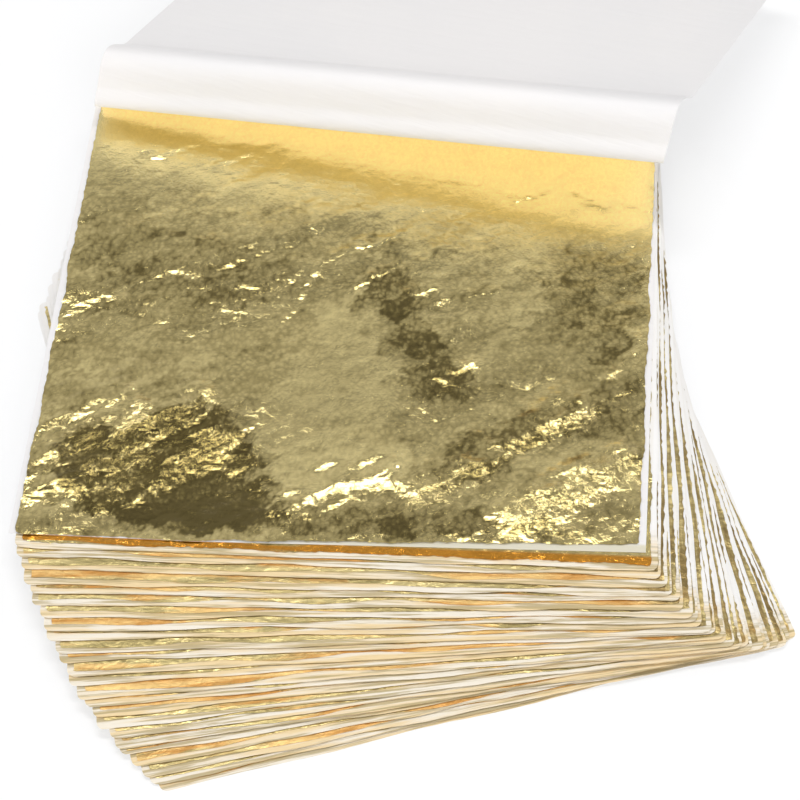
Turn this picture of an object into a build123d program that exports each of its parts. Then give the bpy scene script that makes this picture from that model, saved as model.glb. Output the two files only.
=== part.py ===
from build123d import *
import math
import os

os.makedirs("parts", exist_ok=True)

# Sheets: square metal leaves, each on a slightly larger square of tissue
pair_count = 25
leaf_side = 140
tissue_rim = 1.5
tissue_side = leaf_side + 2 * tissue_rim
leaf_thick = 0.12
tissue_thick = 0.2
pair_gap = 0.08
pair_pitch = tissue_thick + leaf_thick + pair_gap

# Fan of the pile: the lowest pair is turned and slid furthest from the top one
fan_right = 19
fan_right_ease = 6
fan_toward = 64
fan_toward_ease = 24
fan_angle = 9
fan_angle_growth = 10.6

# Small strays of the single sheets from the even fan, by hand
stray_slide = 0.45
stray_angle = 0.22
stray_leaf = 0.5
stray_shares = [
    0.1, -0.5, 0.8, -0.2, -0.9, 0.4, 0.7, -0.6, 0.2, 0.9, -0.3, -0.8, 0.5,
    0.0, 0.6, -0.7, -0.1, 1.0, -0.4, 0.3, -1.0, 0.6, -0.2, 0.4, 0.0,
]
slide_step = 7
angle_step = 11

# Page of the top tissue: folded over the leaf at the far edge, then turned back along slanting lines
page_length = tissue_side
fold_clear = 0.5
fold_angle = 25
slant_run = 27
page_bend_at = [13, 24]
page_bend_angles = [88, 80.8]


def fan_share(number):
    """0 for the top pair and 1 for the lowest."""
    return (pair_count - number) / (pair_count - 1)


def stray(number, step=0):
    """Share of the stray of one sheet; the top pair has none."""
    if number == pair_count:
        return 0
    return stray_shares[(number - 1 + step) % len(stray_shares)]


def pair_pose(number):
    """Middle of a pair measured from the middle of the top one, and its turn in degrees."""
    share = fan_share(number)
    right = fan_right * share - fan_right_ease * share ** 2
    toward = fan_toward * share - fan_toward_ease * share ** 2
    turn = fan_angle * share + fan_angle_growth * share ** 2
    right += stray_slide * stray(number)
    toward += stray_slide * stray(number, slide_step)
    turn += stray_angle * stray(number, angle_step)
    return right, -toward, turn


def square_corners(number, side):
    """Corners of a square sheet of one pair, seen from above."""
    right, far, turn = pair_pose(number)
    place = Location((right, far, 0), (0, 0, turn))
    half = side / 2
    corners = [(-half, -half), (half, -half), (half, half), (-half, half)]
    return [(place * Location((x, y, 0))).position for x, y in corners]


# Heights of the top pair and of the closed page that would lie on it
top_tissue_base = pair_pitch * (pair_count - 1)
top_leaf_top = top_tissue_base + tissue_thick + leaf_thick
page_base = top_leaf_top + pair_gap
page_top = page_base + tissue_thick
fold_line = tissue_side / 2 + fold_clear
fold_height = top_leaf_top + pair_gap / 2


def page_edge(distance, slant):
    """Left and right ends of a line across the closed page, at a distance from its fold."""
    left = (-tissue_side / 2, fold_line - distance)
    right = (tissue_side / 2, fold_line - distance - slant)
    return left, right


def turned_about(start, finish, height, angle):
    """Turn about the line through two points at one height, the near side going up."""
    line = (finish[0] - start[0], finish[1] - start[1], 0)
    hinge = Plane(origin=(start[0], start[1], height), x_dir=line, z_dir=(0, 0, 1)).location
    return hinge * Location((0, 0, 0), (-angle, 0, 0)) * hinge.inverse()


# Lines of the closed page: the fold, the slanting bends and the free end
page_lines = [page_edge(fold_clear, 0)]
page_lines += [page_edge(distance, slant_run) for distance in page_bend_at]
page_lines += [page_edge(page_length, 0)]

# Places of the page strips as they stand, from the fold outwards
fold_start, fold_end = page_edge(0, 0)
page_places = [turned_about(fold_start, fold_end, fold_height, fold_angle)]
for line, bend in zip(page_lines[1:], page_bend_angles):
    page_places.append(page_places[-1] * turned_about(line[0], line[1], page_top, bend))


def strip_outline(number):
    """Corners of one strip of the closed page."""
    near = page_lines[number]
    far = page_lines[number + 1]
    return [near[0], near[1], far[1], far[0]]


# Middle of the whole part, so that it stands over the origin
reach = []
for number in range(1, pair_count + 1):
    reach += square_corners(number, tissue_side)
for number, place in enumerate(page_places):
    for x, y in strip_outline(number):
        reach.append((place * Location((x, y, page_base))).position)
        reach.append((place * Location((x, y, page_top))).position)
middle_x = (max(point.X for point in reach) + min(point.X for point in reach)) / 2
middle_y = (max(point.Y for point in reach) + min(point.Y for point in reach)) / 2
to_middle = Location((-middle_x, -middle_y, 0))

# Tissue squares with their leaves, from the table up
for number in range(1, pair_count + 1):
    right, far, turn = pair_pose(number)
    base = pair_pitch * (number - 1)
    pair_place = to_middle * Location((right, far, base), (0, 0, turn))

    with BuildPart() as tissue:
        with BuildSketch(Plane(pair_place)):
            Rectangle(tissue_side, tissue_side)
        extrude(amount=tissue_thick)
    tissue.part.label = f"tissue_{number:02d}"
    export_step(tissue.part, f"parts/tissue_{number:02d}.step")

    leaf_x = stray_leaf * stray(number, angle_step)
    leaf_y = stray_leaf * stray(number, slide_step)
    leaf_place = pair_place * Location((leaf_x, leaf_y, tissue_thick))
    with BuildPart() as leaf:
        with BuildSketch(Plane(leaf_place)):
            Rectangle(leaf_side, leaf_side)
        extrude(amount=leaf_thick)
    leaf.part.label = f"leaf_{number:02d}"
    export_step(leaf.part, f"parts/leaf_{number:02d}.step")

# Strips of the page, folded over the far margin of the leaf and turned back behind the pile
for number, place in enumerate(page_places):
    strip_place = to_middle * place * Location((0, 0, page_base))
    with BuildPart() as page:
        with BuildSketch(Plane(strip_place)):
            with BuildLine():
                Polyline(*strip_outline(number), close=True)
            make_face()
        extrude(amount=tissue_thick)
    page.part.label = f"page_{number + 1:02d}"
    export_step(page.part, f"parts/page_{number + 1:02d}.step")
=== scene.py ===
import math
import bpy
import numpy as np
from mathutils import Matrix, Vector


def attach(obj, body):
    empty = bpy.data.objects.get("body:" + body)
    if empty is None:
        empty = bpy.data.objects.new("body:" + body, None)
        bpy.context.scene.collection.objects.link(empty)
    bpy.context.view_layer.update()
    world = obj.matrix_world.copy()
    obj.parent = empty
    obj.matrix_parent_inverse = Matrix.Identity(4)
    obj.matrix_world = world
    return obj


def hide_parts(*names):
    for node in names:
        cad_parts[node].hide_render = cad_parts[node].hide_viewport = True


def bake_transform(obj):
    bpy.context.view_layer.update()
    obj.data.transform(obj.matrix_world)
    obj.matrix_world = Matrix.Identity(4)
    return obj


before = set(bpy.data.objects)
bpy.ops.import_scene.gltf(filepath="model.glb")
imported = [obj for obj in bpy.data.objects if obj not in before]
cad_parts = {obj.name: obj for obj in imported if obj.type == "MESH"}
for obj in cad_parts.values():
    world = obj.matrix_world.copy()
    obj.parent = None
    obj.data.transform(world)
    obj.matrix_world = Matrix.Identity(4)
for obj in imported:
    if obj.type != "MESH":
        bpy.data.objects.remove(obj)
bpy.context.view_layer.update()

# ---------------------------------------------------------------- Camera
# The photograph is taken from the near side, about 50 degrees above the table,
# with a long lens. Place and aim were fitted to the corners of the sheets.
for obj in bpy.context.selected_objects:
    obj.select_set(False)
MM = 0.001
CAMERA_AT = (34.75 * MM, -452.08 * MM, 487.44 * MM)
CAMERA_RIGHT = (0.99746, 0.06933, -0.0162)
CAMERA_UP = (-0.04244, 0.76171, 0.64653)
CAMERA_BACK = (0.05717, -0.6442, 0.76272)
camera_data = bpy.data.cameras.new("photo_camera")
camera_data.lens = 121.5
camera_data.sensor_width = 36
camera_data.clip_start = 0.05
camera_data.clip_end = 20
camera = bpy.data.objects.new("photo_camera", camera_data)
bpy.context.scene.collection.objects.link(camera)
camera.rotation_mode = "QUATERNION"
camera.location = CAMERA_AT
camera.rotation_quaternion = Matrix((CAMERA_RIGHT, CAMERA_UP, CAMERA_BACK)).transposed().to_quaternion()
bpy.context.scene.camera = camera

# ---------------------------------------------------------------- Floor and light
# A plain white table top under a soft studio dome, a soft lamp almost overhead,
# which the creases catch, and one in front. None of it is part of the object.
bpy.context.scene.view_settings.view_transform = "Standard"
TABLE_WHITE = (0.965, 0.97, 0.98)
TABLE_GREY = tuple(c * 0.99 for c in TABLE_WHITE)
TABLE_SIDE = 8.0
# How far the table as it is seen is lifted to plain white over its own shading.
TABLE_LIFT = 0.6
# Brightness of the dome from the horizon, 0, to straight up, 1.
DOME = [
    (0.0, 0.66), (0.45, 0.62), (0.643, 0.66), (0.70, 0.62), (0.745, 0.52),
    (0.79, 0.38), (0.83, 0.26), (0.87, 0.18), (0.93, 0.18), (1.0, 0.30),
]
DOME_BLUE = 1.01
HIGH_LAMP = dict(power=30.0, sizes=(1.7, 0.5), distance=2.6, azimuth=4.0, elevation=80.0)
FRONT_LAMP = dict(power=27.0, sizes=(2.0, 1.4), distance=2.4, azimuth=172.0, elevation=30.0)


class Sock:
    """A value or colour inside a material: Python's operators add the Math nodes."""

    def __init__(self, nodes, socket):
        self.nodes = nodes
        self.socket = socket

    def math(self, operation, *others, clamp=False):
        values = dict(enumerate((self, *others)))
        return self.nodes.add("ShaderNodeMath", {"operation": operation, "use_clamp": clamp}, values)

    def __add__(self, other):
        return self.math("ADD", other)

    def __mul__(self, other):
        return self.math("MULTIPLY", other)

    def __sub__(self, other):
        return self.math("SUBTRACT", other)

    def __rsub__(self, other):
        return self.nodes.add("ShaderNodeMath", {"operation": "SUBTRACT"}, {0: other, 1: self})

    __radd__ = __add__
    __rmul__ = __mul__

    def clamped(self):
        return self.math("ADD", 0.0, clamp=True)

    def between(self, low, high):
        """0 at low and 1 at high, eased."""
        ends = {"Value": self, "From Min": low, "From Max": high}
        return self.nodes.add("ShaderNodeMapRange", {"interpolation_type": "SMOOTHSTEP"}, ends)


class Nodes:
    """The node tree of one material."""

    def __init__(self, name):
        self.material = bpy.data.materials.new(name)
        self.material.use_nodes = True
        self.tree = self.material.node_tree
        self.tree.nodes.clear()

    def add(self, kind, settings=None, inputs=None, output=0):
        """One node: its settings first, then its inputs; gives one of its outputs."""
        node = self.tree.nodes.new(kind)
        for key, value in (settings or {}).items():
            setattr(node, key, value)
        for key, value in (inputs or {}).items():
            self.feed(node.inputs[key], value)
        return Sock(self, node.outputs[output]) if len(node.outputs) else None

    def feed(self, socket, value):
        if isinstance(value, Sock):
            self.tree.links.new(value.socket, socket)
        else:
            socket.default_value = value

    def place(self):
        """Where a point lies in the whole object."""
        return self.add("ShaderNodeTexCoord", output="Object")

    def mapped(self, scale, turn=0.0):
        """The same, stretched, and turned about the upright axis, for one pattern."""
        inputs = {"Vector": self.place(), "Scale": scale, "Rotation": (0, 0, turn)}
        return self.add("ShaderNodeMapping", None, inputs)

    def noise(self, vector, scale, detail=3, rough=0.5, distort=0.0):
        return self.add("ShaderNodeTexNoise", None, {
            "Vector": vector, "Scale": scale, "Detail": detail, "Roughness": rough, "Distortion": distort})

    def mix(self, factor, first, second):
        """Two colours mixed, each a socket or three numbers."""
        first, second = [c if isinstance(c, Sock) else (*c, 1) for c in (first, second)]
        inputs = {"Factor": factor, 6: first, 7: second}
        return self.add("ShaderNodeMix", {"data_type": "RGBA"}, inputs, output=2)

    def bump(self, height, strength, distance):
        inputs = {"Height": height, "Strength": strength, "Distance": distance}
        return self.add("ShaderNodeBump", None, inputs)

    def surface(self, **inputs):
        """The finished material, from what its Principled shader is given."""
        named = {key.replace("_", " "): value for key, value in inputs.items()}
        shader = self.add("ShaderNodeBsdfPrincipled", None, named)
        self.add("ShaderNodeOutputMaterial", None, {"Surface": shader})
        return self.material


table_nodes = Nodes("table_top")
table_grain = table_nodes.noise(table_nodes.place(), 40.0)
table_colour = table_nodes.mix(table_grain * 0.3, TABLE_WHITE, TABLE_GREY)
table_plain = table_nodes.add("ShaderNodeBsdfPrincipled", None, {
    "Base Color": table_colour, "Roughness": 0.8})
table_bright = table_nodes.add("ShaderNodeEmission", None, {"Strength": 1.0})
camera_ray, glossy_ray, through_ray = [
    table_nodes.add("ShaderNodeLightPath", output=f"Is {kind} Ray")
    for kind in ("Camera", "Glossy", "Transmission")]
table_seen = (camera_ray + glossy_ray + through_ray).clamped() * TABLE_LIFT
table_mixed = table_nodes.add("ShaderNodeMixShader", None, {0: table_seen, 1: table_plain, 2: table_bright})
table_nodes.add("ShaderNodeOutputMaterial", None, {"Surface": table_mixed})
bpy.ops.mesh.primitive_plane_add(size=TABLE_SIDE, location=(0, 0, 0))
table = bpy.context.object
table.name = "table_top"
table.data.materials.append(table_nodes.material)
table.select_set(False)

world = bpy.data.worlds.new("studio")
bpy.context.scene.world = world
world.use_nodes = True
sky = world.node_tree
sky.nodes.clear()
sky_out = sky.nodes.new("ShaderNodeOutputWorld")
sky_light = sky.nodes.new("ShaderNodeBackground")
sky_ramp = sky.nodes.new("ShaderNodeValToRGB")
sky_place = sky.nodes.new("ShaderNodeTexCoord")
sky_split = sky.nodes.new("ShaderNodeSeparateXYZ")
sky.links.new(sky_place.outputs["Generated"], sky_split.inputs[0])
sky.links.new(sky_split.outputs["Z"], sky_ramp.inputs[0])
sky.links.new(sky_ramp.outputs[0], sky_light.inputs[0])
sky.links.new(sky_light.outputs[0], sky_out.inputs[0])
dome_stops = sky_ramp.color_ramp.elements
for height, level in DOME[1:-1]:
    dome_stops.new(height)
for stop, (height, level) in zip(dome_stops, DOME):
    stop.position = height
    stop.color = (level, level, level * DOME_BLUE, 1)


def soft_lamp(name, power, sizes, distance, azimuth, elevation):
    """A rectangular lamp aimed at the pile; azimuth is clockwise from the far side."""
    data = bpy.data.lights.new(name, "AREA")
    data.shape = "RECTANGLE"
    data.size, data.size_y = sizes
    data.energy = power
    lamp = bpy.data.objects.new(name, data)
    bpy.context.scene.collection.objects.link(lamp)
    turn, rise = math.radians(azimuth), math.radians(elevation)
    way = Vector((math.sin(turn) * math.cos(rise), math.cos(turn) * math.cos(rise), math.sin(rise)))
    lamp.location = way * distance
    lamp.rotation_mode = "QUATERNION"
    lamp.rotation_quaternion = (-way).to_track_quat("-Z", "Y")


soft_lamp("high_lamp", **HIGH_LAMP)
soft_lamp("front_lamp", **FRONT_LAMP)

# ---------------------------------------------------------------- Tissue squares of the lower pairs
# Squares of thin white tissue, one under each metal leaf, cut in a stack with a blade,
# so their edges wander a little and their corners are soft. They are only laid down.
PAIRS = 25
LEAF_HALF = 70 * MM
TISSUE_HALF = 71.5 * MM
PITCH = 0.4 * MM
TISSUE_BASE = 0.07 * MM
TISSUE_THICK = 0.06 * MM
CORNER_SOFT = 1.8 * MM
# A sheet's mesh is finest at its edge: how far in each ring of its points lies, in mm.
TISSUE_RINGS = [0, 0.35, 0.9, 1.6, 2.6, 4.2, 7.0, 12.0]
EDGE_STEP = 1.0 * MM
# An edge's stray fades inwards over this many mm; the power keeps it to that one edge.
EDGE_REACH = 4.0
EDGE_HOLD = 8
# Strays of the side edges and of the near and far ones: seed, wavelength and depth in mm.
TISSUE_SIDE_STRAY = ((100, 40, 0.24), (1100, 9, 0.05))
TISSUE_NEAR_STRAY = ((200, 40, 0.4), (1200, 9, 0.05))
# Ripples of the whole sheet: seed, wavelength and height in mm.
TISSUE_RIPPLES = ((300, 11, 0.035),)
SHARP_ANGLE = math.radians(50)
# Tissue as it is, with painted shade in streaks along its side edges, and at its near edge, where
# the foil has stained it and the gold light the foil throws on it is painted as cream.
TISSUE_WHITES = ((0.90, 0.885, 0.865), (0.84, 0.80, 0.72))
TISSUE_CREAMS = ((0.88, 0.81, 0.68), (0.84, 0.65, 0.36))
TISSUE_STAIN = (0.46, 0.36, 0.17)


def waves(x, y, seed, length):
    """Smooth ripples of about one wavelength: a sum of plane waves, about -1 to 1."""
    count, level = 9, 1.5
    draw = np.random.default_rng(seed)
    total = np.zeros(np.broadcast(x, y).shape)
    for _ in range(count):
        turn = draw.uniform(0, 2 * math.pi)
        size = 2 * math.pi / (length * draw.uniform(0.5, 1.5))
        phase = draw.uniform(0, 2 * math.pi)
        total = total + np.sin(size * (x * math.cos(turn) + y * math.sin(turn)) + phase)
    return total / math.sqrt(count) / level


def line_waves(t, seed, length):
    """The same along one line, so that an edge wanders and its inside doesn't."""
    count, level = 7, 4
    draw = np.random.default_rng(seed)
    total = 0
    for _ in range(count):
        size = 2 * math.pi / (length * draw.uniform(0.5, 1.6))
        total = total + np.sin(size * t + draw.uniform(0, 2 * math.pi))
    return total / level


def ripples(x, y, seed, rows):
    """How high a sheet's ripples are, from the rows of its table."""
    return sum(waves(x, y, seed + step, length * MM) * height * MM for step, length, height in rows)


def stray(t, seed, rows):
    """How far an edge strays along its length."""
    return sum(line_waves(t, seed + step, length * MM) * depth * MM for step, length, depth in rows)


def pair_place(number):
    """Middle and turn of a pair, from the corners of its tissue in the CAD frame."""
    points = np.array([v.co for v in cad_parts[f"tissue_{number:02d}"].data.vertices])
    middle = (points.max(axis=0) + points.min(axis=0)) / 2
    corners = points - middle
    turns = (np.arctan2(corners[:, 1], corners[:, 0]) - math.pi / 4) % (math.pi / 2)
    return middle[:2], float(np.median(np.where(turns > math.pi / 4, turns - math.pi / 2, turns)))


PLACES = {number: pair_place(number) for number in range(1, PAIRS + 1)}


def placed(number, x, y, z):
    """Points of a pair's own square, moved to where the pair lies."""
    (mx, my), turn = PLACES[number]
    c, s = math.cos(turn), math.sin(turn)
    return np.stack([mx + c * x - s * y, my + s * x + c * y, z], axis=-1)


def softened(u, v, half, radius):
    """Points of a square from its shares, with its corners rounded."""
    x, y = u * half, v * half
    inside = (np.abs(x) > half - radius) & (np.abs(y) > half - radius)
    cx, cy = np.sign(x) * (half - radius), np.sign(y) * (half - radius)
    dx, dy = x - cx, y - cy
    size = np.maximum(np.hypot(dx, dy), 1e-12)
    reach = np.maximum(np.abs(dx), np.abs(dy))
    return np.where(inside, cx + dx / size * reach, x), np.where(inside, cy + dy / size * reach, y)


def sheet_object(name, vertices, faces, local, half):
    """A piece from its points and faces, with its own square as its UV map."""
    mesh = bpy.data.meshes.new(name)
    mesh.from_pydata(vertices.tolist(), [], faces)
    mesh.update()
    corners = np.zeros(len(mesh.loops), dtype=np.int32)
    mesh.loops.foreach_get("vertex_index", corners)
    lay = mesh.uv_layers.new(name="lay")
    lay.data.foreach_set("uv", (local[corners] / (2 * half) + 0.5).astype(np.float32).ravel())
    mesh.shade_smooth()
    mesh.set_sharp_from_angle(angle=SHARP_ANGLE)
    sheet = bpy.data.objects.new(name, mesh)
    bpy.context.scene.collection.objects.link(sheet)
    return sheet


def banded_sheet(name, number, half, rings, radius, wander, base, thick, relief):
    """A thin closed sheet: rings of faces along its edge and one plain face inside."""
    side = np.linspace(-1, 1, int(2 * half / EDGE_STEP), endpoint=False)
    one = np.ones(len(side))
    u = np.concatenate([side, one, -side, -one])
    v = np.concatenate([-one, side, one, -side])
    total, deep = len(u), len(rings)
    layers, local = [], []
    for top in (1, 0):
        for inset in rings:
            size = 1 - inset * MM / half
            x, y = softened(u * size, v * size, half, radius)
            dx, dy = wander(x, y)
            fade = math.exp(-inset / EDGE_REACH)
            x, y = x + dx * np.abs(u) ** EDGE_HOLD * fade, y + dy * np.abs(v) ** EDGE_HOLD * fade
            layers.append(placed(number, x, y, base + top * thick + relief(x, y)))
            local.append(np.stack([x, y], axis=-1))
    here = np.arange(total)
    after = (here + 1) % total
    faces = []
    for ring in range(deep - 1):
        a, b = ring * total, (ring + 1) * total
        faces += np.stack([a + here, a + after, b + after, b + here], axis=1).tolist()
        a, b = a + deep * total, b + deep * total
        faces += np.stack([a + after, a + here, b + here, b + after], axis=1).tolist()
    faces.append(((deep - 1) * total + here).tolist())
    faces.append(((2 * deep - 1) * total + here[::-1]).tolist())
    faces += np.stack([deep * total + here, deep * total + after, after, here], axis=1).tolist()
    return sheet_object(name, np.concatenate(layers), faces, np.concatenate(local), half)


class Lay(Nodes):
    """A material that also reads where a point lies on its own flat sheet."""

    def split(self, vector, part):
        return self.add("ShaderNodeSeparateXYZ", None, {0: vector}, output=part)

    def lay(self, part):
        """0 to 1 from left to right (0) or from the near edge to the far one (1)."""
        return self.split(self.add("ShaderNodeTexCoord", output="UV"), part)

    def layer(self):
        """Counts the sheets upwards, so that each has its own pattern."""
        return self.split(self.place(), 2) * (1 / PITCH)

    def stored(self, name):
        """A number kept with the points of the mesh."""
        return self.add("ShaderNodeAttribute", {"attribute_name": name}, output=2)

    def joined(self, x, y, z):
        return self.add("ShaderNodeCombineXYZ", None, {0: x, 1: y, 2: z})

    def streaks(self, long, short, shift, detail=3, rough=0.5):
        """Noise drawn out along the near edge; long and short are counts per sheet."""
        spot = self.joined(self.lay(0) * long, self.lay(1) * short, self.layer() + shift)
        return self.noise(spot, 1.0, detail, rough)

    def side_streaks(self, long, short, shift, detail=3, rough=0.5):
        """The same, drawn out along the side edges."""
        spot = self.joined(self.lay(0) * short, self.lay(1) * long, self.layer() + shift)
        return self.noise(spot, 1.0, detail, rough)


paper = Lay("tissue_paper")
near_edge = 1.0 - paper.lay(1).between(0.02, 0.09)
# Painted shade: darker, warmer streaks drawn along the side edges.
paper_side_shade = paper.side_streaks(4.0, 90.0, 3.1).between(0.45, 0.7) * 0.5
# Painted light: the near edge turns cream, in warm streaks, for the gold light the foil throws on it; the
# tan streaks on it are stains.
paper_warm = paper.streaks(3.0, 60.0, 0.0, 3, 0.6).between(0.40, 0.62)
paper_tan = paper.streaks(5.0, 160.0, 7.3, 4, 0.65).between(0.46, 0.60) * 0.85
paper_white = paper.mix(paper_side_shade, *TISSUE_WHITES)
paper_cream = paper.mix(paper_warm, *TISSUE_CREAMS)
paper_stain_and_bounce = paper.mix(paper_tan, paper_cream, TISSUE_STAIN)
paper_colour = paper.mix(near_edge, paper_white, paper_stain_and_bounce)
paper_fibre = paper.noise(paper.mapped((1, 4, 1)), 900.0, 4, 0.7)
paper_bump = paper.bump(paper_fibre, 0.3, 0.00006)
paper_material = paper.surface(Base_Color=paper_colour, Roughness=0.6, Normal=paper_bump)


def body_name(number):
    return {1: "bottom_pair", PAIRS: "top_pair"}.get(number, f"pair_{number:02d}")


def tissue_wander(number):
    def move(x, y):
        return stray(y, number, TISSUE_SIDE_STRAY), stray(x, number, TISSUE_NEAR_STRAY)
    return move


def tissue_relief(number):
    def lift(x, y):
        return ripples(x, y, number, TISSUE_RIPPLES)
    return lift


for number in range(1, PAIRS):
    sheet = banded_sheet(
        f"tissue_sheet_{number:02d}", number, TISSUE_HALF, TISSUE_RINGS, CORNER_SOFT,
        tissue_wander(number), (number - 1) * PITCH + TISSUE_BASE, TISSUE_THICK, tissue_relief(number))
    sheet.data.materials.append(paper_material)
    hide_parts(f"tissue_{number:02d}")
    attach(sheet, body_name(number))
    under = "table_top" if number == 1 else f"metal_sheet_{number - 1:02d}"

# ---------------------------------------------------------------- Metal leaves of the lower pairs
# Beaten brass foil, thinner than the tissue, with torn and crinkled edges: orange and brown at
# the near edges, partly tarnish and partly painted reflection of gold light bounced between the
# leaves, and darker brown where painted shade darkens the strips at the right side. Each lies
# loose on its tissue, a little off its middle.
LEAF_BASE = 0.225 * MM
LEAF_THICK = 0.03 * MM
LEAF_CORNER = 0.5 * MM
LEAF_RINGS = [0, 0.3, 0.7, 1.2, 1.8, 2.5, 3.3, 4.3, 5.6, 8.0]
# The right edges reach further out, and all edges stray as the tissue's do.
LEAF_RIGHT = 0.85 * MM
LEAF_SIDE_STRAY = ((400, 50, 0.36), (1400, 3, 0.16), (2400, 1.4, 0.12))
LEAF_NEAR_STRAY = ((500, 45, 0.8), (1500, 6, 0.07))
LEAF_RIPPLES = ((600, 7, 0.03), (650, 2.6, 0.012))
FOIL_OLIVES = ((0.78, 0.64, 0.30), (0.46, 0.37, 0.16))
FOIL_ORANGES = ((0.86, 0.58, 0.22), (0.62, 0.30, 0.07))
FOIL_SHADE = (0.28, 0.20, 0.08)

foil = Lay("metal_leaf_edge")
foil_near = (1.0 - foil.lay(1).between(0.03, 0.10)) * (1.0 - foil.lay(0).between(0.93, 0.98) * 0.8)
foil_side = foil.lay(0).between(0.95, 0.985)
foil_tarnish = foil.streaks(2.6, 30.0, 0.0, 3, 0.6)
# The orange of the near edges is partly tarnish and partly painted reflection of gold light bounced between
# the leaves.
foil_tarnish_and_bounce = foil_tarnish.between(0.47, 0.58) * foil_near
foil_streak = foil.streaks(6.0, 90.0, 5.5, 4, 0.65)
# Painted shade: dark brown streaks on the strips at the right side.
foil_side_shade = foil.side_streaks(7.0, 60.0, 1.5, 4, 0.65).between(0.35, 0.6) * foil_side
foil_olive = foil.mix(foil_streak.between(0.42, 0.62), *FOIL_OLIVES)
foil_olive = foil.mix(foil_side_shade, foil_olive, FOIL_SHADE)
foil_orange = foil.mix(foil_streak.between(0.40, 0.60), *FOIL_ORANGES)
foil_colour = foil.mix(foil_tarnish_and_bounce, foil_olive, foil_orange)
foil_crease = foil.noise(foil.place(), 300.0, 5, 0.6, 0.8)
foil_fine = foil.noise(foil.place(), 1200.0, 3, 0.6, 0.6)
foil_bump = foil.bump(foil_crease + foil_fine * 0.25, 0.5, 0.0005)
foil_material = foil.surface(
    Base_Color=foil_colour, Metallic=1.0 - foil_tarnish_and_bounce * 0.5,
    Roughness=foil_tarnish * 0.3 + 0.2, Normal=foil_bump)


def leaf_wander(number):
    def move(x, y):
        reach = LEAF_RIGHT * np.clip(x / LEAF_HALF, 0, 1)
        return reach + stray(y, number, LEAF_SIDE_STRAY), stray(x, number, LEAF_NEAR_STRAY)
    return move


def leaf_relief(number):
    def lift(x, y):
        return ripples(x, y, number, LEAF_RIPPLES)
    return lift


for number in range(1, PAIRS - 1):
    sheet = banded_sheet(
        f"metal_sheet_{number:02d}", number, LEAF_HALF, LEAF_RINGS, LEAF_CORNER,
        leaf_wander(number), (number - 1) * PITCH + LEAF_BASE, LEAF_THICK, leaf_relief(number))
    sheet.data.materials.append(foil_material)
    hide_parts(f"leaf_{number:02d}")
    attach(sheet, body_name(number))

# ---------------------------------------------------------------- The two uppermost metal leaves
# Squares of beaten brass foil, crumpled by handling: broad swells, a few long raised
# folds, and crinkles round them. The top one is seen whole, the next when it is lifted.
TOP = PAIRS
TOP_LEAF_LOW = 9.615 * MM
TOP_LEAF_ROOM = 0.47 * MM
NEXT_LEAF_LOW = 9.40 * MM
NEXT_LEAF_ROOM = 0.13 * MM
# The edges of both stray as the others do. The top one is cut short at its near right,
# runs a little long at its near left, and flares to the right.
RAGGED_CORNER = 0.8 * MM
RAGGED_STRAY = ((0, 26, 0.35), (1, 4, 0.14), (2, 1.5, 0.08))
SHORT_FROM = 30 * MM
SHORT_RUN = 100 * MM
TOP_LEAF_SHORT = 3.2 * MM
TOP_LEAF_LONG = 1.5 * MM
TOP_LEAF_RIGHT = 0.4 * MM
TOP_LEAF_FLARE = 0.02

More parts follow.
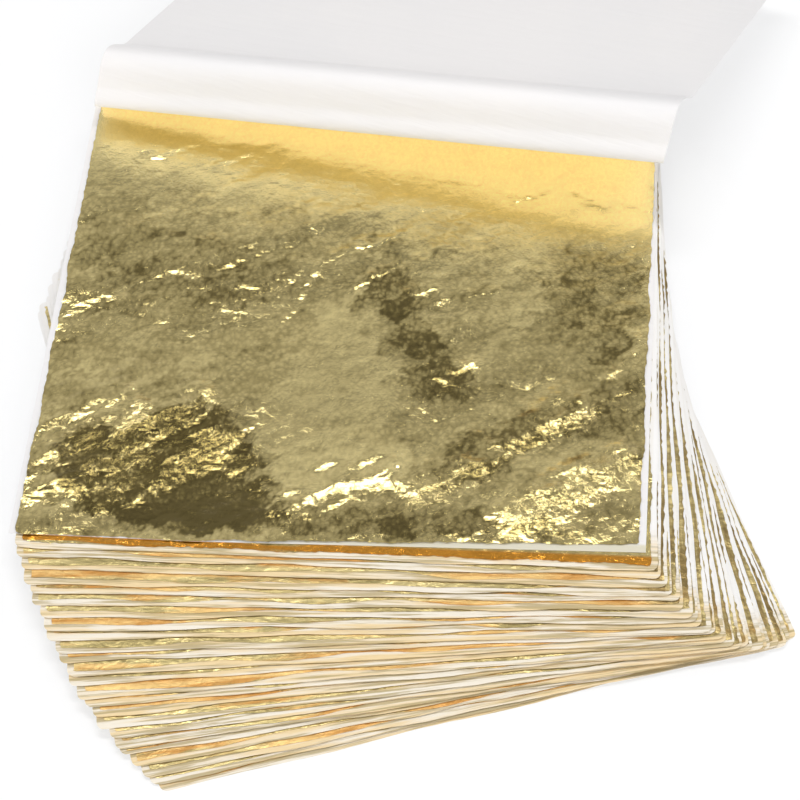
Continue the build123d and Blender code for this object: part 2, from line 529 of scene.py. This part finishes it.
# Raised folds of the top leaf: height in mm, width of the near flank, width of the far
# flank, crinkle along it, and its run over the leaf in mm from the middle of the square.
FOLDS = [
    (0.62, 7.0, 16.0, 0.3, [(-9.0, -66.0), (-4.6, -60.0), (2.0, -56.5), (9.7, -53.0), (16.3, -50.5)]),
    (0.30, 4.5, 9.0, 1.0, [(15.6, -57.0), (24.4, -52.7), (33.3, -47.2)]),
    (0.48, 5.5, 10.0, 0.6, [(31.0, -48.5), (42.2, -40.1), (50.1, -33.6), (58.0, -27.5)]),
    (0.34, 6.0, 8.0, 1.0, [(39.4, -61.4), (51.6, -53.5), (62.9, -47.9), (69.7, -45.1)]),
    (0.30, 4.0, 8.0, 1.0, [(49.4, -55.1), (60.6, -45.6), (68.5, -40.7)]),
    (0.46, 4.5, 7.0, 0.25, [(-71.4, -55.4), (-66.9, -52.2), (-62.3, -49.0)]),
    (0.44, 5.0, 7.0, 0.25, [(-69.8, -63.3), (-64.7, -59.5), (-57.2, -57.8)]),
    (0.30, 2.6, 12.0, 0.4, [(-69.2, -44.0), (-64.2, -38.6), (-58.0, -34.5), (-49.2, -29.5)]),
    (0.26, 4.0, 8.0, 1.2, [(-52.2, -46.0), (-48.4, -39.5), (-44.6, -33.0)]),
    (0.26, 3.0, 8.0, 1.2, [(-43.1, -40.1), (-36.8, -34.5), (-30.0, -28.0)]),
    (0.22, 3.0, 6.0, 1.2, [(-54.7, -54.5), (-49.0, -48.2), (-43.8, -44.1)]),
    (0.32, 3.2, 9.0, 0.8, [(-42.5, -60.8), (-38.0, -54.2), (-32.0, -46.4), (-22.4, -38.9)]),
    (0.30, 2.6, 9.0, 0.6, [(21.5, -22.0), (25.2, -18.6), (31.0, -16.5)]),
    (0.16, 0.9, 3.0, 0.2, [(-1.2, 5.8), (3.3, 9.7), (9.2, 13.8)]),
    (0.12, 0.8, 4.0, 0.2, [(-15.3, -4.9), (-12.0, 4.2), (-8.4, 14.5), (-4.6, 19.1)]),
    (0.12, 0.8, 3.0, 0.2, [(-6.1, 15.3), (1.4, 20.5), (12.2, 25.2)]),
    (0.10, 0.8, 3.0, 0.2, [(10.9, 4.8), (16.8, 6.8), (21.7, 6.4)]),
    (0.10, 0.8, 3.0, 0.2, [(27.3, 4.8), (30.8, 6.0), (34.9, 7.5)]),
    (0.15, 5.0, 9.0, 0.2, [(-69.5, -1.5), (-60.0, -0.5), (-50.1, -2.5), (-41.0, -8.5)]),
    (0.20, 2.4, 8.0, 0.2, [(40.1, 39.0), (46.2, 42.9), (55.0, 38.1), (69.8, 35.5)]),
    (0.16, 2.0, 5.0, 0.6, [(61.0, -20.0), (65.0, -14.0), (69.0, -6.0)]),
]
# Hollows of the same leaf, in the same order: their near flank falls.
HOLLOWS = [
    (0.24, 9.0, 7.0, 0.2, [(4.3, 13.8), (10.2, 4.8), (16.1, -3.1), (20.1, -10.9), (22.8, -17.8)]),
    (0.26, 14.0, 14.0, 0.8, [(-63.9, -44.0), (-53.5, -50.0), (-45.6, -55.5)]),
    (0.16, 12.0, 12.0, 0.3, [(-38.2, -66.0), (-24.8, -62.7), (-12.8, -64.7)]),
    (0.10, 12.0, 10.0, 0.1, [(-25.0, -42.4), (-15.6, -47.9), (-9.2, -54.4)]),
    (0.16, 16.0, 20.0, 0.2, [(52.2, 38.0), (54.3, 20.5), (58.3, -2.6)]),
    (0.14, 9.0, 9.0, 0.1, [
        (-72.7, 17.1), (-58.4, 21.4), (-43.0, 17.1), (-30.0, 10.3),
        (-13.3, 15.3), (5.9, 21.6), (28.0, 24.5)]),
    (0.12, 8.0, 9.0, 0.1, [(-71.1, 8.9), (-58.3, 3.9), (-45.6, 0.0), (-36.3, 3.5), (-22.3, 9.3)]),
]
# Facets of the same leaf that lie a little away from its plane; the darker reflection their tilt
# gives is painted into their colour: how much painted shade each gets, negative where it is
# painted lighter, and its outline. The first two are the smooth ones, where the broad creases fade.
FACETS = [
    (-0.22, [
        (-24.7, -37.7), (-19.6, -48.4), (-10.6, -63.2), (-0.7, -55.5), (14.8, -51.7),
        (17.3, -47.2), (12.5, -34.2), (11.1, -22.1), (4.8, -3.5), (-2.1, 2.5),
        (-7.8, -1.0), (-11.4, -14.0), (-18.1, -29.8)]),
    (-0.14, [
        (26.5, 27.3), (32.5, 4.4), (30.2, -21.0), (36.1, -22.2),
        (45.0, -10.8), (47.5, 21.7), (48.2, 37.0), (33.5, 36.2)]),
    (0.38, [
        (0.1, 13.1), (10.2, 15.7), (18.6, -2.8), (28.9, -18.0), (31.6, -25.5),
        (26.0, -28.0), (18.9, -26.2), (11.0, -12.7), (5.3, -0.3)]),
    (0.55, [
        (-62.1, -41.3), (-50.8, -39.2), (-33.2, -30.6), (-21.9, -37.6), (-16.7, -50.6),
        (-10.0, -64.6), (-22.0, -68.1), (-40.2, -66.9), (-58.8, -63.1), (-63.7, -53.3)]),
    (0.20, [
        (-68.3, 24.9), (-39.5, 23.1), (-14.4, 18.4), (-20.1, 1.5),
        (-36.5, -2.6), (-56.5, 2.8), (-67.5, 11.5)]),
    (0.26, [(49.0, 27.9), (58.2, 34.1), (69.2, 28.9), (68.9, -3.2), (59.3, -16.9), (49.5, -4.3)]),
    (0.27, [
        (32.1, -34.6), (50.2, -26.0), (69.0, -17.3), (68.4, -38.5),
        (50.5, -36.5), (37.3, -47.6), (24.2, -57.0), (19.4, -51.5)]),
    (0.34, [(-43.1, -62.2), (-6.8, -63.0), (19.8, -58.6), (60.3, -62.8), (51.5, -66.2), (-48.9, -69.1)]),
]
SMOOTH_FACETS = FACETS[:2]
SMOOTH_BORDER = 12 * MM
SMOOTH_SHARE = 0.85
FACET_BORDER = 0.8 * MM
FACET_LONG = 2.2
FACET_GRAINS = (3.4 * MM, 1.5 * MM)
# A fold or hollow ends at this share of its half length, and fades over the next value.
FOLD_PAST = 1.25
FOLD_FADE = 0.4
# Broad straight creases cross the whole leaf: how far apart, and how steep.
CREASE_APART = 44 * MM
CREASE_SLOPE = 0.011
# Crinkles lie along the folds: their turn, their stretch, for each size its cell, height in
# mm and least share away from the folds, and how crinkled a plain place is shaded.
CRINKLE_TURN = math.radians(30)
CRINKLE_LONG = 2.4
CRINKLES = ((13 * MM, 0.08, 1.0), (5.2 * MM, 0.13, 0.25), (2.3 * MM, 0.07, 0.12))
CRINKLE_CALM = 0.15
# The far band of the leaf mirrors the page, so it is kept free of painted shade: where it
# starts at the left edge, how it slants, its soft border, and how much of the tone and
# painted shade it takes away.
BAND_FROM = 36 * MM
BAND_SLANT = 0.14
BAND_BORDER = 12 * MM
BAND_UNSHADED = 0.9
# How steeply the relief is squeezed into the leaf's room, and how strongly it is shaded.
RELIEF_SQUEEZE = 2.2
RELIEF_SHADED = 2.2
# Colours of the foil: its own bright colour, painted shade, deeper painted shade in the darkest
# facets, and orange, partly tarnish and partly painted reflection of gold bounced between leaves.
FACE_BRIGHT = (0.97, 0.81, 0.38)
FACE_SHADED = (0.30, 0.235, 0.085)
FACE_DEEP_SHADE = (0.165, 0.128, 0.047)
FACE_TARNISH_AND_BOUNCE = (0.80, 0.36, 0.05)


def inside(x, y, outline, soft):
    """1 inside an outline in mm and 0 outside it, with a narrow eased border."""
    points = np.array(outline) * MM
    away = np.full(x.shape, 1e9)
    odd = np.zeros(x.shape, dtype=bool)
    for a, b in zip(points, np.roll(points, -1, axis=0)):
        d = b - a
        held = np.clip(((x - a[0]) * d[0] + (y - a[1]) * d[1]) / (d @ d), 0, 1)
        away = np.minimum(away, np.hypot(x - a[0] - held * d[0], y - a[1] - held * d[1]))
        crosses = (a[1] > y) != (b[1] > y)
        odd ^= crosses & (x < a[0] + (y - a[1]) * d[0] / (d[1] if d[1] else 1e-12))
    t = np.clip(np.where(odd, away, -away) / soft + 0.5, 0, 1)
    return t * t * (3 - 2 * t)


def cell_spots(x, y, seed, size):
    """The scattered point nearest to each place, so that a whole cell takes one value."""
    table = np.random.default_rng(seed).uniform(0.1, 0.9, (64, 64, 2))
    gx, gy = np.floor(x / size).astype(int), np.floor(y / size).astype(int)
    best = np.full(np.shape(x), 9.0)
    sx, sy = np.array(x, dtype=float), np.array(y, dtype=float)
    for i in (-1, 0, 1):
        for j in (-1, 0, 1):
            spot = table[(gx + i) % 64, (gy + j) % 64]
            px, py = (gx + i + spot[..., 0]) * size, (gy + j + spot[..., 1]) * size
            away = np.hypot(px - x, py - y) / size
            sx, sy = np.where(away < best, px, sx), np.where(away < best, py, sy)
            best = np.minimum(best, away)
    return sx, sy


def creases(x, y, seed, length, slope):
    """Straight folds in several directions, crossing: flat facets between sharp lines, in mm."""
    draw = np.random.default_rng(seed)
    total = 0
    for _ in range(7):
        turn = draw.uniform(0, math.pi)
        size = length * draw.uniform(0.7, 1.5)
        at = (x * math.cos(turn) + y * math.sin(turn)) / size + draw.uniform(0, 1)
        total = total + (np.abs(at % 1 - 0.5) - 0.25) * size / MM * slope * draw.uniform(0.6, 1.4)
    return total


def cells(x, y, seed, size):
    """Distance to the nearest and next nearest of scattered points, in cell sizes."""
    table = np.random.default_rng(seed).uniform(0.1, 0.9, (64, 64, 2))
    gx, gy = np.floor(x / size).astype(int), np.floor(y / size).astype(int)
    first = np.full(np.shape(x), 9.0)
    second = np.full(np.shape(x), 9.0)
    for i in (-1, 0, 1):
        for j in (-1, 0, 1):
            spot = table[(gx + i) % 64, (gy + j) % 64]
            away = np.hypot(gx + i + spot[..., 0] - x / size, gy + j + spot[..., 1] - y / size)
            second = np.minimum(second, np.maximum(first, away))
            first = np.minimum(first, away)
    return first, second


def beside(x, y, run):
    """Signed distance from a run of points, far side positive, and how far past its ends."""
    best = np.full(x.shape, 1e9)
    signed = np.zeros(x.shape)
    points = np.array(run) * MM
    for a, b in zip(points[:-1], points[1:]):
        d = b - a
        length = math.hypot(*d)
        t = ((x - a[0]) * d[0] + (y - a[1]) * d[1]) / length ** 2
        held = np.clip(t, 0, 1)
        px, py = x - a[0] - held * d[0], y - a[1] - held * d[1]
        away = np.hypot(px, py)
        side = np.sign(d[0] * py - d[1] * px)
        nearer = away < best
        best = np.where(nearer, away, best)
        signed = np.where(nearer, np.where(side == 0, 1, side) * away, signed)
    ends = np.array([points[0], points[-1]])
    reach = sum(math.hypot(*(b - a)) for a, b in zip(points[:-1], points[1:])) / 2
    middle = ends.mean(axis=0)
    way = (ends[1] - ends[0]) / math.hypot(*(ends[1] - ends[0]))
    along = np.abs((x - middle[0]) * way[0] + (y - middle[1]) * way[1]) / reach
    return signed, along


def fold_profile(signed, near, far):
    """Rises across the near flank, whose middle is the run, and falls over the far one."""
    up = np.clip(signed / (near * MM) + 0.5, 0, 1)
    down = np.clip(1 - (signed - near * MM / 2) / (far * MM), 0, 1)
    return up * down * down * (3 - 2 * down)


def turned_way(x, y, angle):
    """The same place, measured along and across a direction."""
    c, s = math.cos(angle), math.sin(angle)
    return x * c + y * s, -x * s + y * c


def top_field(x, y):
    """The top leaf's relief in mm, how crinkled it is there, and its tone with painted shade."""
    wx = x + waves(x, y, 801, 9 * MM) * 1.3 * MM + waves(x, y, 802, 3 * MM) * 0.6 * MM
    wy = y + waves(x, y, 803, 9 * MM) * 1.3 * MM + waves(x, y, 804, 3 * MM) * 0.6 * MM
    total = 0.07 * waves(x, y, 805, 42 * MM) + 0.03 * waves(x * 0.6, y * 1.4, 806, 20 * MM)
    uneven = 0.85 + 0.3 * waves(x, y, 807, 7 * MM)
    crinkle = np.full(x.shape, CRINKLE_CALM)
    for sign, table in ((1, FOLDS), (-1, HOLLOWS)):
        for height, near, far, crackle, run in table:
            signed, along = beside(wx, wy, run)
            ends = np.clip((FOLD_PAST - along) / FOLD_FADE, 0, 1)
            ends = ends * ends * (3 - 2 * ends)
            total = total + sign * height * fold_profile(signed, near, far) * ends * uneven
            close = np.exp(-(signed / (near * MM)) ** 2) * ends
            crinkle = np.maximum(crinkle, crackle * close)
    along, across = turned_way(wx, wy, CRINKLE_TURN)
    for step, (size, height, least) in enumerate(CRINKLES):
        first, second = cells(along / CRINKLE_LONG, across, 820 + step, size)
        total = total + height * np.maximum(crinkle, least) * (second - first)
    calm = np.maximum(*[inside(x, y, outline, SMOOTH_BORDER) for _, outline in SMOOTH_FACETS])
    total = total + creases(wx, wy, 846, CREASE_APART, CREASE_SLOPE) * (1 - SMOOTH_SHARE * calm)
    tone_and_shade = 0.50 + 0.08 * waves(x, y, 842, 14 * MM)
    along = along + waves(x, y, 847, 8 * MM) * 0.5 * MM
    across = across + waves(x, y, 848, 8 * MM) * 0.3 * MM
    for size in FACET_GRAINS:
        sx, sy = cell_spots(along / FACET_LONG, across, 843, size)
        sx, sy = turned_way(sx * FACET_LONG, sy, -CRINKLE_TURN)
        facets = sum(depth * inside(sx, sy, outline, FACET_BORDER) for depth, outline in FACETS)
        tone_and_shade = tone_and_shade + (facets + 0.30 * waves(sx, sy, 844, 3 * MM)) / len(FACET_GRAINS)
    band = np.clip((y - BAND_FROM + (x + LEAF_HALF) * BAND_SLANT) / BAND_BORDER, 0, 1)
    return total, crinkle, tone_and_shade * (1 - BAND_UNSHADED * band)


def next_field(x, y):
    """The same of the leaf below, which nothing has creased so sharply."""
    total = 0.10 * waves(x, y, 831, 40 * MM) + 0.06 * waves(x, y, 832, 15 * MM)
    first, second = cells(x / 1.8 + y * 0.3, y, 833, 6 * MM)
    return total + 0.05 * (second - first), np.full(x.shape, 0.3), 0.35 + 0.1 * waves(x, y, 834, 20 * MM)


def crumpled(name, number, low, room, field, outline, grid):
    """A crumpled leaf: what of its relief finds no room is kept for its shading."""
    u, v = [a.ravel() for a in np.meshgrid(np.linspace(-1, 1, grid), np.linspace(-1, 1, grid))]
    x, y = outline(u, v)
    height, crackle, tone_and_shade = field(x, y)
    middle, span = np.median(height), np.percentile(height, 99.5) - np.percentile(height, 0.5)
    lift = (0.5 + 0.5 * np.tanh((height - middle) / span * RELIEF_SQUEEZE)) * (room - LEAF_THICK)
    z = low + lift
    vertices = np.concatenate([placed(number, x, y, z + LEAF_THICK), placed(number, x, y, z)])
    local = np.tile(np.stack([x, y], axis=-1), (2, 1))
    sheet = sheet_object(name, vertices, grid_faces(grid, grid), local, LEAF_HALF)
    for label, values in (("relief", height - lift / MM), ("crackle", crackle), ("tone_and_shade", tone_and_shade)):
        attribute = sheet.data.attributes.new(label, "FLOAT", "POINT")
        attribute.data.foreach_set("value", np.tile(values, 2).astype(np.float32))
    return sheet


def grid_faces(columns, rows):
    """Faces of a closed sheet: a face layer, an under layer and their rim."""
    count = columns * rows
    index = np.arange(count).reshape(rows, columns)
    a, b = index[:-1, :-1].ravel(), index[:-1, 1:].ravel()
    c, d = index[1:, 1:].ravel(), index[1:, :-1].ravel()
    rim = np.concatenate([index[0, :-1], index[:-1, -1], index[-1, :0:-1], index[:0:-1, 0]])
    after = np.roll(rim, -1)
    faces = np.stack([a, b, c, d], axis=1).tolist()
    faces += (np.stack([d, c, b, a], axis=1) + count).tolist()
    return faces + np.stack([rim + count, after + count, after, rim], axis=1).tolist()


def ragged(seed):
    def outline(u, v):
        x, y = softened(u, v, LEAF_HALF, RAGGED_CORNER)
        dx, dy = stray(y, seed, RAGGED_STRAY), stray(x, seed + len(RAGGED_STRAY), RAGGED_STRAY)
        return x + dx * np.abs(u) ** EDGE_HOLD, y + dy * np.abs(v) ** EDGE_HOLD
    return outline


def cut_short(x):
    """How much of the near edge's shortness there is: none at the left, all at the right."""
    return np.clip((x + SHORT_FROM) / SHORT_RUN, 0, 1)


def top_outline(u, v):
    """The top leaf is a little short at its near right, and reaches the rim at its left."""
    x, y = ragged(900)(u, v)
    near = np.clip(-v, 0, 1) ** 6
    right = np.clip(u, 0, 1) ** 6
    shorter = cut_short(x) * TOP_LEAF_SHORT - (1 - cut_short(x)) * TOP_LEAF_LONG
    return x + right * (TOP_LEAF_RIGHT + y * TOP_LEAF_FLARE), y + near * shorter


face = Lay("metal_leaf_face")
face_relief, face_crackle, face_tone_and_shade = [face.stored(name) for name in ("relief", "crackle", "tone_and_shade")]
face_cloud = face.noise(face.mapped((1, 1.6, 1), -0.4), 45.0, 4, 0.6, 0.8)
face_crease = face.noise(face.mapped((1.4, 1, 1), -0.3), 300.0, 4, 0.6, 1.6)
face_fine = face.noise(face.mapped((1.6, 1, 1), 0.3), 620.0, 3, 0.65, 0.9)
# A skin of small cells, as on leather, that shows only on the shaded foil; in the colour it is
# painted shade in the crinkles.
face_bent = face.noise(face.place(), 260.0, 2) * 0.0022
face_skin = face.mapped((1.25, 1, 1), 0.5)
face_skin = face.joined(face.split(face_skin, 0) + face_bent, face.split(face_skin, 1) - face_bent, 0.0)
face_leather = face.add("ShaderNodeTexVoronoi", {"feature": "F1"}, {"Vector": face_skin, "Scale": 700.0})
face_leather = (face_leather - 0.42) * (face_tone_and_shade * 2.2).clamped()
face_mottle = (face_cloud - 0.5) * 0.2 + (face_fine - 0.5) * 0.35
# Painted shade: the colour goes from the foil's own bright yellow towards dark olive and deep brown by the
# stored tone and painted shade of the facets, a random mottle, and the leather cells.
face_shading = (face_tone_and_shade + face_mottle + face_leather * 0.42).clamped()
face_deep_shading = (face_tone_and_shade + (face_fine - 0.5) * 0.6 + face_leather * 0.5).between(0.75, 1.25)
face_colour = face.mix(face_deep_shading, face.mix(face_shading, FACE_BRIGHT, FACE_SHADED), FACE_DEEP_SHADE)
# Orange on the near margin of the lower of the two leaves, partly tarnish and partly painted
# reflection of gold light bounced between the leaves, told from the other by height.
face_margin = (1.0 - face.lay(1).between(0.012, 0.02)) * face.streaks(5.0, 60.0, 2.0).between(0.35, 0.5)
face_below = 1.0 - face.split(face.place(), 2).between(0.00955, 0.0096)
face_colour = face.mix(face_margin * face_below, face_colour, FACE_TARNISH_AND_BOUNCE)
face_sharp = (face_crease - 0.5).math("ABSOLUTE") * (face_crackle * 0.34 + 0.065)
face_grain = face_fine * (face_crackle * 0.05 + 0.040) - face_leather * 0.060
face_bump = face.bump(face_relief * RELIEF_SHADED + face_sharp + face_grain, 1.0, MM)
face_material = face.surface(
    Base_Color=face_colour, Metallic=1.0, Roughness=face_cloud * 0.14 + 0.14, Normal=face_bump)

for name, node, number, low, room, field, outline, grid, under in (
        ("metal_sheet_25", "leaf_25", TOP, TOP_LEAF_LOW, TOP_LEAF_ROOM,
         top_field, top_outline, 220, "top_tissue"),
        ("metal_sheet_24", "leaf_24", TOP - 1, NEXT_LEAF_LOW, NEXT_LEAF_ROOM,
         next_field, ragged(920), 150, "tissue_sheet_24")):
    sheet = crumpled(name, number, low, room, field, outline, grid)
    sheet.data.materials.append(face_material)
    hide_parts(node)
    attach(sheet, body_name(number))

# ---------------------------------------------------------------- Top tissue and its page
# The top tissue is twice as long as the others. Its far half is folded over the leaf's
# far margin and rolled back behind the pile along slanting lines, with soft ripples.
TOP_MIDDLE = PLACES[TOP][0]
PAGE_LONG = 143 * MM
PAGE_THICK = 0.06 * MM
# The fold and the two bends, from the joints of the CAD model: places and angles.
FOLD_LINE = 72 * MM
FOLD_HEIGHT = 9.96 * MM
FOLD_ANGLE = math.radians(25)
SLANT = 27 / 143
BEND_AT = (13 * MM, 24 * MM)
BEND_ANGLES = (math.radians(88), math.radians(80.8))
PAGE_TOP = 10.2 * MM
# How far before and after its line each bend is rounded, and where the pieces meet.
BEND_REACH = ((5.3 * MM, 5.3 * MM), (5.3 * MM, 13.0 * MM))
BORDER_AT = 6.5 * MM
MIDDLE_AT = (BEND_AT[0] + BEND_AT[1]) / 2
# Heights of the middle of the paper under the leaf and in the closed page, the heights
# between which the fold turns, and how far the page lies to the right of the tissue.
UNDER_MID = 9.565 * MM
PAGE_MID = 10.19 * MM
FOLD_FROM = 9.66 * MM
FOLD_TO = 10.04 * MM
PAGE_ASIDE = 1.2 * MM
# Shares of the rows of points that lie before the fold, and before its end.
FLAT_SHARE = 0.6
FOLD_SHARE = 0.66
# The near edge is short at its right, as the leaf's is, within a margin of the square.
TISSUE_SHORT = 2.6 * MM
SHORT_MARGIN = 14 * MM
TISSUE_FLARE = 1.0 * MM
# Rows past this one, on a scale of -1 to 1, hang over the leaf and get its light.
OVER_LEAF = 0.33
PAGE_GLOW = (0.42, 0.4116, 0.3906)
PAGE_WHITES = ((0.83, 0.815, 0.812), (0.86, 0.838, 0.828))
PAGE_STAIN = (0.66, 0.61, 0.44)
LINE = np.array([1.0, -SLANT, 0.0]) / math.hypot(1, SLANT)
ACROSS = np.array([LINE[1], -LINE[0], 0.0])
FOLD_AXIS = np.array([1.0, 0.0, 0.0])
FOLD_ORIGIN = np.array([0.0, FOLD_LINE, FOLD_HEIGHT])
FOLD_SPAN = np.array([[0.0, FOLD_LINE, FOLD_FROM], [0.0, FOLD_LINE, FOLD_TO]])


def turned(points, origin, axis, angle):
    """Points turned about an axis; each point may have its own angle."""
    p = points - origin
    c, s = np.cos(angle)[:, None], np.sin(angle)[:, None]
    return origin + p * c + np.cross(axis, p) * s + (p @ axis)[:, None] * axis * (1 - c)


def bend_origin(which):
    return np.array([-TISSUE_HALF, FOLD_LINE - BEND_AT[which], PAGE_TOP])


def folded(points, share):
    """Points of the closed page, turned back about its fold."""
    return turned(points, FOLD_ORIGIN, FOLD_AXIS, -share * FOLD_ANGLE)


def at_rest(points, fold, first, second):
    """Flat points of the closed page, bent to where the page stands."""
    p = turned(points, bend_origin(1), LINE, -second * BEND_ANGLES[1])
    p = turned(p, bend_origin(0), LINE, -first * BEND_ANGLES[0])
    return folded(p, fold)


def bend_span(which):
    """Start and end of a bend, where its two sides are straight, as the page stands."""
    before, after = BEND_REACH[which]
    ends = np.array([bend_origin(which) - ACROSS * before, bend_origin(which) + ACROSS * after])
    if which == 0:
        return at_rest(ends, np.ones(2), np.array([0.0, 1.0]), np.zeros(2))
    return at_rest(ends, np.ones(2), np.ones(2), np.array([0.0, 1.0]))


def share_at(points, span):
    way = span[1] - span[0]
    t = np.clip((points - span[0]) @ way / (way @ way), 0, 1)
    return t * t * (3 - 2 * t)


def solved(points, place, span):
    """The share of the turn of each flat point, so that the bent piece closes flat."""
    low, high = np.zeros(len(points)), np.ones(len(points))
    for _ in range(40):
        middle = (low + high) / 2
        more = share_at(place(points, middle), span) > middle
        low, high = np.where(more, middle, low), np.where(more, high, middle)
    return (low + high) / 2


def to_pile(points):
    return points + np.array([TOP_MIDDLE[0], TOP_MIDDLE[1], 0.0])


def page_y(x, at):
    """Where a slanting line of the closed page lies, from its distance at the left end."""
    return FOLD_LINE - at - (x + TISSUE_HALF) * SLANT


def page_ripple(x, y):
    """Soft ripples of the paper, most of them along the roll."""
    along = x + y * SLANT
    slow = waves(along * 0.35, y, 851, 16 * MM) * 0.030 * MM
    return slow + waves(along * 0.5, y, 852, 6 * MM) * 0.012 * MM


def under_part(u, v, side):
    """The square under the leaf, the fold, and the page up to near its first bend."""
    arc = (v + 1) / 2
    after = np.clip((arc - FOLD_SHARE) / (1 - FOLD_SHARE), 0, 1)
    x = u * TISSUE_HALF + PAGE_ASIDE * after ** 0.5
    y = -TISSUE_HALF + arc / FLAT_SHARE * (2 * TISSUE_HALF)
    radius = (PAGE_MID - UNDER_MID) / 2 - side * PAGE_THICK / 2
    turn = np.clip((arc - FLAT_SHARE) / (FOLD_SHARE - FLAT_SHARE), 0, 1) * math.pi
    y = np.where(arc > FLAT_SHARE, TISSUE_HALF + np.sin(turn) * radius, y)
    round_z = (UNDER_MID + PAGE_MID) / 2 - np.cos(turn) * radius
    z = np.where(arc > FLAT_SHARE, round_z, UNDER_MID + side * PAGE_THICK / 2)
    y = np.where(arc > FOLD_SHARE, TISSUE_HALF + (page_y(x, BORDER_AT) - TISSUE_HALF) * after, y)
    flat_points = np.stack([x, y, z], axis=-1)
    share = np.where(arc >= FOLD_SHARE, 1.0, 0.0)
    bending = (arc > FLAT_SHARE) & (arc < FOLD_SHARE)
    share[bending] = solved(flat_points[bending], folded, FOLD_SPAN)
    rest = folded(flat_points, share)
    square = arc < FLAT_SHARE
    near = np.clip((SHORT_MARGIN - TISSUE_HALF - y) / SHORT_MARGIN, 0, 1)
    rest[:, 1] += near * cut_short(x) * TISSUE_SHORT * square
    rest[:, 0] += np.clip(u, 0, 1) ** 6 * np.clip(y / TISSUE_HALF, -1, 1) * TISSUE_FLARE * square
    return rest, np.stack([x, y], axis=-1)


def bent_part(which, start, end):
    """A piece of the page across one bend, from one distance from the fold to another."""
    def part(u, v, side):
        x = u * TISSUE_HALF + PAGE_ASIDE
        finish = page_y(x, end) if end is not None else np.full(len(x), FOLD_LINE - PAGE_LONG)
        y = page_y(x, start) + (finish - page_y(x, start)) * (v + 1) / 2
        z = PAGE_MID - side * PAGE_THICK / 2 + page_ripple(x, y)
        flat_points = np.stack([x, y, z], axis=-1)
        one = np.ones(len(x))

        def bend(points, share):
            return at_rest(points, one, share, 0 * one) if which == 0 else at_rest(points, one, one, share)

        share = solved(flat_points, bend, BEND_SPANS[which])
        return bend(flat_points, share), np.stack([x, y], axis=-1)
    return part


def page_piece(name, columns, rows, part):
    """A piece of the sheet; the first one also stores which of it hangs over the leaf."""
    u, v = [a.ravel() for a in np.meshgrid(np.linspace(-1, 1, columns), np.linspace(-1, 1, rows))]
    (face_points, local), (under_points, _) = part(u, v, 1), part(u, v, -1)
    vertices = to_pile(np.concatenate([face_points, under_points]))
    sheet = sheet_object(name, vertices, grid_faces(columns, rows), np.tile(local, (2, 1)), TISSUE_HALF)
    if part is under_part:
        attribute = sheet.data.attributes.new("over_leaf", "FLOAT", "POINT")
        attribute.data.foreach_set("value", np.concatenate([v > OVER_LEAF, 0 * v]).astype(np.float32))
    return sheet


def page_paper(name, glow=None):
    """Thin tissue; glow stands for the light that comes through its strip over the leaf."""
    page = Lay(name)
    cloud = page.noise(page.place(), 18.0)
    fibre = page.noise(page.mapped((1, 6, 1)), 700.0, 4, 0.7)
    across, along = page.lay(0), page.lay(1)
    fold = page.noise(page.joined(across * 9.0 + along * 6.0, along * 60.0, 0.0), 1.0, 3, 0.5, 0.3)
    low = 1.0 - page.split(page.place(), 2).between(0.0100, 0.0104)
    margin = (1.0 - along.between(0.014, 0.022)) * low * across.between(0.3, 0.6)
    colour = page.mix(cloud.between(0.35, 0.7), *PAGE_WHITES)
    colour = page.mix(margin * 0.8, colour, PAGE_STAIN)
    bump = page.bump(fold * 0.6 + fibre * 0.05, 0.6, 0.0005)
    light = {}
    if glow:
        light["Emission_Color"] = page.mix(page.stored("over_leaf"), (0, 0, 0), glow)
        light["Emission_Strength"] = 1.0
    return page.surface(Base_Color=colour, Roughness=0.55, Normal=bump, **light)


BEND_SPANS = [bend_span(0), bend_span(1)]
top_paper = page_paper("top_tissue_paper", PAGE_GLOW)
back_paper = page_paper("page_tissue")

for name, nodes, bodies, span, flat, area, grid, part, material in (
        ("top_tissue", ("tissue_25", "page_01"), ("top_pair", "page_strip_01"), FOLD_SPAN,
         (0.143, 0.164), None, (110, 150), under_part, top_paper),
        ("page_roll", ("page_02",), ("page_strip_01", "page_strip_02"), BEND_SPANS[0],
         (0.143, 0.012), None, (150, 40), bent_part(0, BORDER_AT, MIDDLE_AT), back_paper),
        ("page_back", ("page_03",), ("page_strip_02", "page_strip_03"), BEND_SPANS[1],
         (0.143, 0.124), 0.01587, (150, 210), bent_part(1, MIDDLE_AT, None), back_paper)):
    sheet = page_piece(name, *grid, part)
    sheet.data.materials.append(material)
    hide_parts(*nodes)
    start, end = to_pile(span)
    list(bodies)
    tuple(start)
    tuple(end)
    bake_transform(sheet)
